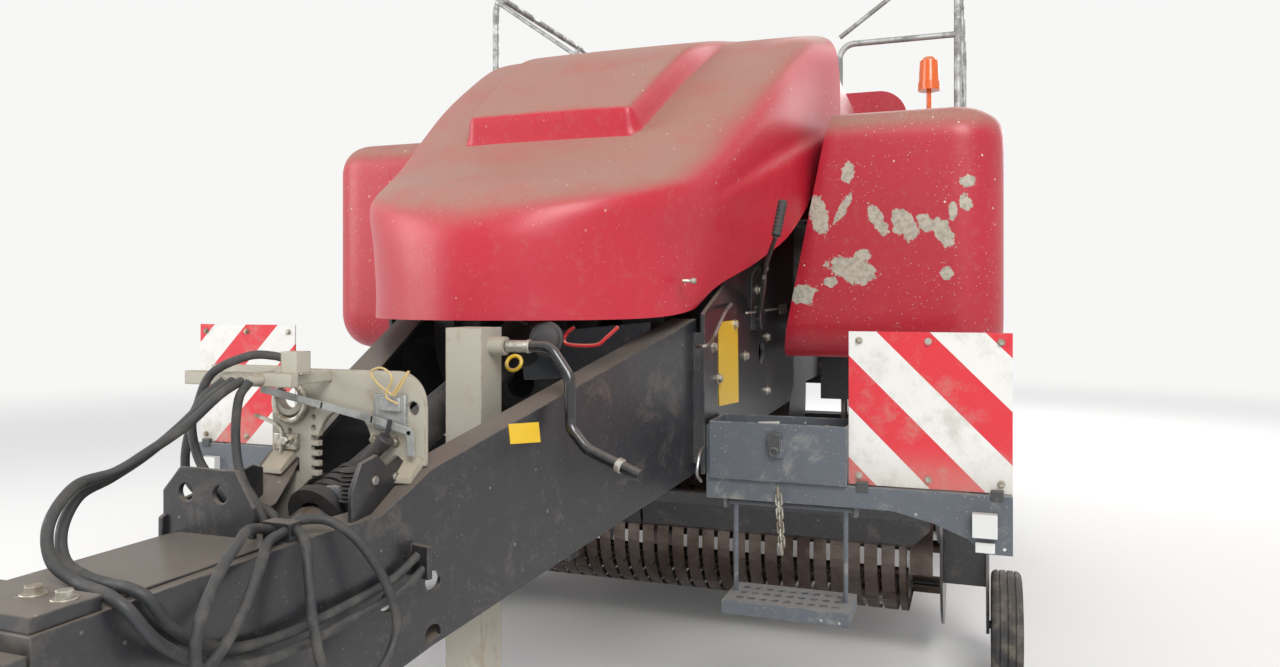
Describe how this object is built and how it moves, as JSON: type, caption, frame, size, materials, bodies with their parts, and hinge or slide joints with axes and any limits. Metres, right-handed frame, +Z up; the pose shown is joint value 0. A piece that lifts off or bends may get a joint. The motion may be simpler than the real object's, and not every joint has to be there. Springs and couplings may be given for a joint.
{
  "type": "square baler",
  "caption": "Towed square baler for hay and straw, parked on its jack: folding pickup, drive line under a curved hood, bale chamber, twine boxes and a folded bale chute",
  "frame": {"origin": "on the ground, at the middle of the plan", "axes": "+Y runs from the hitch back to the chute, +X to the machine's left, +Z up"},
  "size_m": [2.882, 7.1499, 3.1305],
  "materials": {
    "red_paint": "saturated red gloss paint, dusty on its upper faces",
    "dark_frame": "charcoal frame paint with dust and scuffs",
    "blue_grey_paint": "blue-grey satin paint, specked",
    "dark_iron": "dark cast iron, greasy",
    "worn_steel": "bare steel, polished by the crop and rusty between",
    "cream_paint": "pale paint, worn and scratched",
    "galvanised": "dull galvanised tube",
    "black_plastic": "matt black plastic and rubber",
    "tyre": "dusty tyre rubber",
    "pale_rim": "off-white rim paint",
    "board": "reflective sheet with red and white slanting stripes",
    "white_lens": "clear lens",
    "orange_lens": "orange lens",
    "red_lens": "red lens"
  },
  "bodies": {
    "frame": {"hitch_ring": "dark_iron", "tongue": "dark_frame", "side_plates": "dark_frame", "jack_tube": "cream_paint", "jack_crank": "dark_frame", "notch_plate": "cream_paint", "shaft_guard": "black_plastic", "gearbox": "dark_iron", "cross_beams": "blue_grey_paint", "warning_boards": "board", "marker_lamps": "white_lens", "toolbox": "blue_grey_paint", "brake_lever": "black_plastic", "feed_duct": "dark_frame", "bale_chamber": "dark_frame", "knotters": "dark_iron", "top_cover": "red_paint", "axle": "dark_frame", "twine_box_left": "red_paint", "twine_box_right": "red_paint", "handrail_left": "galvanised", "handrail_right": "galvanised", "beacon": "orange_lens", "rear_ladder": "dark_frame", "rear_lamps": "red_lens", "hose_inner": "black_plastic", "hose_outer": "black_plastic", "hose_arch": "black_plastic", "hose_middle": "black_plastic", "hose_lower": "black_plastic", "hose_front": "black_plastic", "hose_side": "black_plastic"},
    "jack_leg": {"jack_leg": "cream_paint"},
    "drive_shaft": {"drive_shaft": "dark_iron"},
    "flywheel": {"flywheel": "dark_iron"},
    "hood": {"hood": "red_paint"},
    "front_shield_left": {"front_shield_left": "red_paint"},
    "front_shield_right": {"front_shield_right": "red_paint"},
    "folding_step": {"folding_step": "blue_grey_paint"},
    "pickup": {"pickup_frame": "blue_grey_paint", "stripper_bands": "worn_steel"},
    "tine_reel": {"tine_reel": "worn_steel"},
    "windguard": {"windguard": "blue_grey_paint"},
    "gauge_wheel_left": {"gauge_wheel_left": "tyre"},
    "gauge_wheel_right": {"gauge_wheel_right": "tyre"},
    "plunger": {"plunger": "worn_steel"},
    "needle_yoke": {"needle_yoke": "worn_steel"},
    "knotter_cover": {"knotter_cover": "red_paint"},
    "wheel_left": {"wheel_left": "pale_rim", "tyre_left": "tyre"},
    "wheel_right": {"wheel_right": "pale_rim", "tyre_right": "tyre"},
    "side_cover_left": {"side_cover_left": "red_paint"},
    "side_cover_right": {"side_cover_right": "red_paint"},
    "chute": {"chute": "blue_grey_paint", "chute_rollers": "worn_steel"}
  },
  "joints": [
    {"name": "jack_extension", "type": "slide", "parent": "frame", "child": "jack_leg", "axis": [0, 0, -1], "range_m": [0, 0.12]},
    {"name": "shaft_spin", "type": "hinge", "parent": "frame", "child": "drive_shaft", "pos_m": [-0.062, -2.5, 0.925], "axis": [0.0553, 0.9236, 0.3793], "continuous": true},
    {"name": "flywheel_spin", "type": "hinge", "parent": "frame", "child": "flywheel", "pos_m": [0, -1.34, 1.35], "axis": [0, 1, 0], "continuous": true},
    {"name": "hood_hinge", "type": "hinge", "parent": "frame", "child": "hood", "pos_m": [0, -0.288, 2.434], "axis": [-1, 0, 0], "range_deg": [0, 60]},
    {"name": "front_shield_left_hinge", "type": "hinge", "parent": "frame", "child": "front_shield_left", "pos_m": [1.35, 0.23, 1.67], "axis": [0, 0, 1], "range_deg": [0, 80]},
    {"name": "front_shield_right_hinge", "type": "hinge", "parent": "frame", "child": "front_shield_right", "pos_m": [-1.35, 0.23, 1.67], "axis": [0, 0, -1], "range_deg": [0, 80]},
    {"name": "step_hinge", "type": "hinge", "parent": "frame", "child": "folding_step", "pos_m": [0.778, -1.396, 0.851], "axis": [-1, 0, 0], "range_deg": [0, 80]},
    {"name": "pickup_lift", "type": "hinge", "parent": "frame", "child": "pickup", "pos_m": [0, 0.42, 0.64], "axis": [-1, 0, 0], "range_deg": [0, 18]},
    {"name": "reel_spin", "type": "hinge", "parent": "pickup", "child": "tine_reel", "pos_m": [0, -0.06, 0.43], "axis": [1, 0, 0], "continuous": true},
    {"name": "windguard_hinge", "type": "hinge", "parent": "pickup", "child": "windguard", "pos_m": [0, -0.49, 0.66], "axis": [-1, 0, 0], "range_deg": [0, 20]},
    {"name": "gauge_wheel_left_spin", "type": "hinge", "parent": "pickup", "child": "gauge_wheel_left", "pos_m": [1.387, -0.27, 0.205], "axis": [1, 0, 0], "continuous": true},
    {"name": "gauge_wheel_right_spin", "type": "hinge", "parent": "pickup", "child": "gauge_wheel_right", "pos_m": [-1.387, -0.27, 0.205], "axis": [1, 0, 0], "continuous": true},
    {"name": "plunger_stroke", "type": "slide", "parent": "frame", "child": "plunger", "axis": [0, 1, 0], "range_m": [0, 0.56]},
    {"name": "needle_lift", "type": "hinge", "parent": "frame", "child": "needle_yoke", "pos_m": [0, 1.88, 1.25], "axis": [-1, 0, 0], "range_deg": [0, 72]},
    {"name": "knotter_cover_hinge", "type": "hinge", "parent": "frame", "child": "knotter_cover", "pos_m": [0, 1.952, 2.161], "axis": [-1, 0, 0], "range_deg": [0, 60]},
    {"name": "wheel_left_spin", "type": "hinge", "parent": "frame", "child": "wheel_left", "pos_m": [1.052, 2.15, 0.62], "axis": [1, 0, 0], "continuous": true},
    {"name": "wheel_right_spin", "type": "hinge", "parent": "frame", "child": "wheel_right", "pos_m": [-1.052, 2.15, 0.62], "axis": [1, 0, 0], "continuous": true},
    {"name": "side_cover_left_hinge", "type": "hinge", "parent": "frame", "child": "side_cover_left", "pos_m": [1.258, 1.58, 2.111], "axis": [0, -1, 0], "range_deg": [0, 80]},
    {"name": "side_cover_right_hinge", "type": "hinge", "parent": "frame", "child": "side_cover_right", "pos_m": [-1.258, 1.58, 2.111], "axis": [0, 1, 0], "range_deg": [0, 80]},
    {"name": "chute_hinge", "type": "hinge", "parent": "frame", "child": "chute", "pos_m": [0, 3.36, 0.97], "axis": [-1, 0, 0], "range_deg": [0, 90]}
  ],
  "couplings": [
    {"joint": "shaft_spin", "follows": "flywheel_spin", "ratio": 1}
  ]
}
